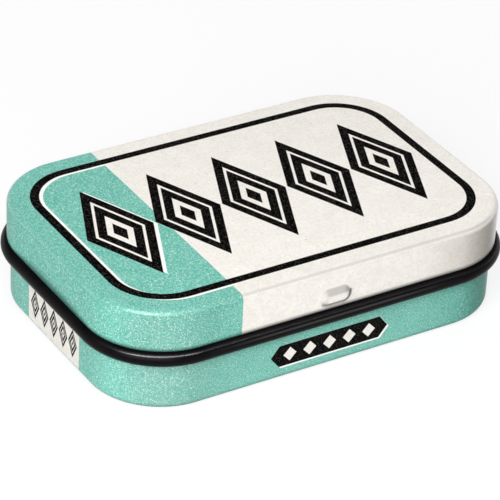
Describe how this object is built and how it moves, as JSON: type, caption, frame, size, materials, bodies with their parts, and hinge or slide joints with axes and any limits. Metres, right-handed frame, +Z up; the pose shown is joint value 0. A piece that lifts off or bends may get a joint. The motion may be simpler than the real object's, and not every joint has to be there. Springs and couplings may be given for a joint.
{
  "type": "mint tin",
  "caption": "Small rounded rectangular pocket tin with a slip-over lid hinged along the back, a half-round rim bead that stops the lid and a thumb bump to open it.",
  "frame": {"origin": "middle of the underside, on the surface that the tin stands on", "axes": "+X along the tin's length to the right, +Y from the thumb bump to the hinge, +Z up"},
  "size_m": [0.06, 0.041, 0.0145],
  "materials": {
    "printed_tinplate": "satin print",
    "black_lacquer": "gloss lacquer",
    "bare_steel": "bright tinned steel"
  },
  "bodies": {
    "base": {"base_tray": "printed_tinplate", "rim_bead": "black_lacquer", "hinge_bead": "black_lacquer", "hinge_wire": "bare_steel"},
    "lid": {"lid_shell": "printed_tinplate", "hinge_strap_left": "bare_steel", "hinge_strap_right": "bare_steel"}
  },
  "joints": [
    {"name": "lid_hinge", "type": "hinge", "parent": "base", "child": "lid", "pos_m": [0, 0.0199, 0.0077], "axis": [-1, 0, 0], "range_deg": [0, 110]}
  ]
}
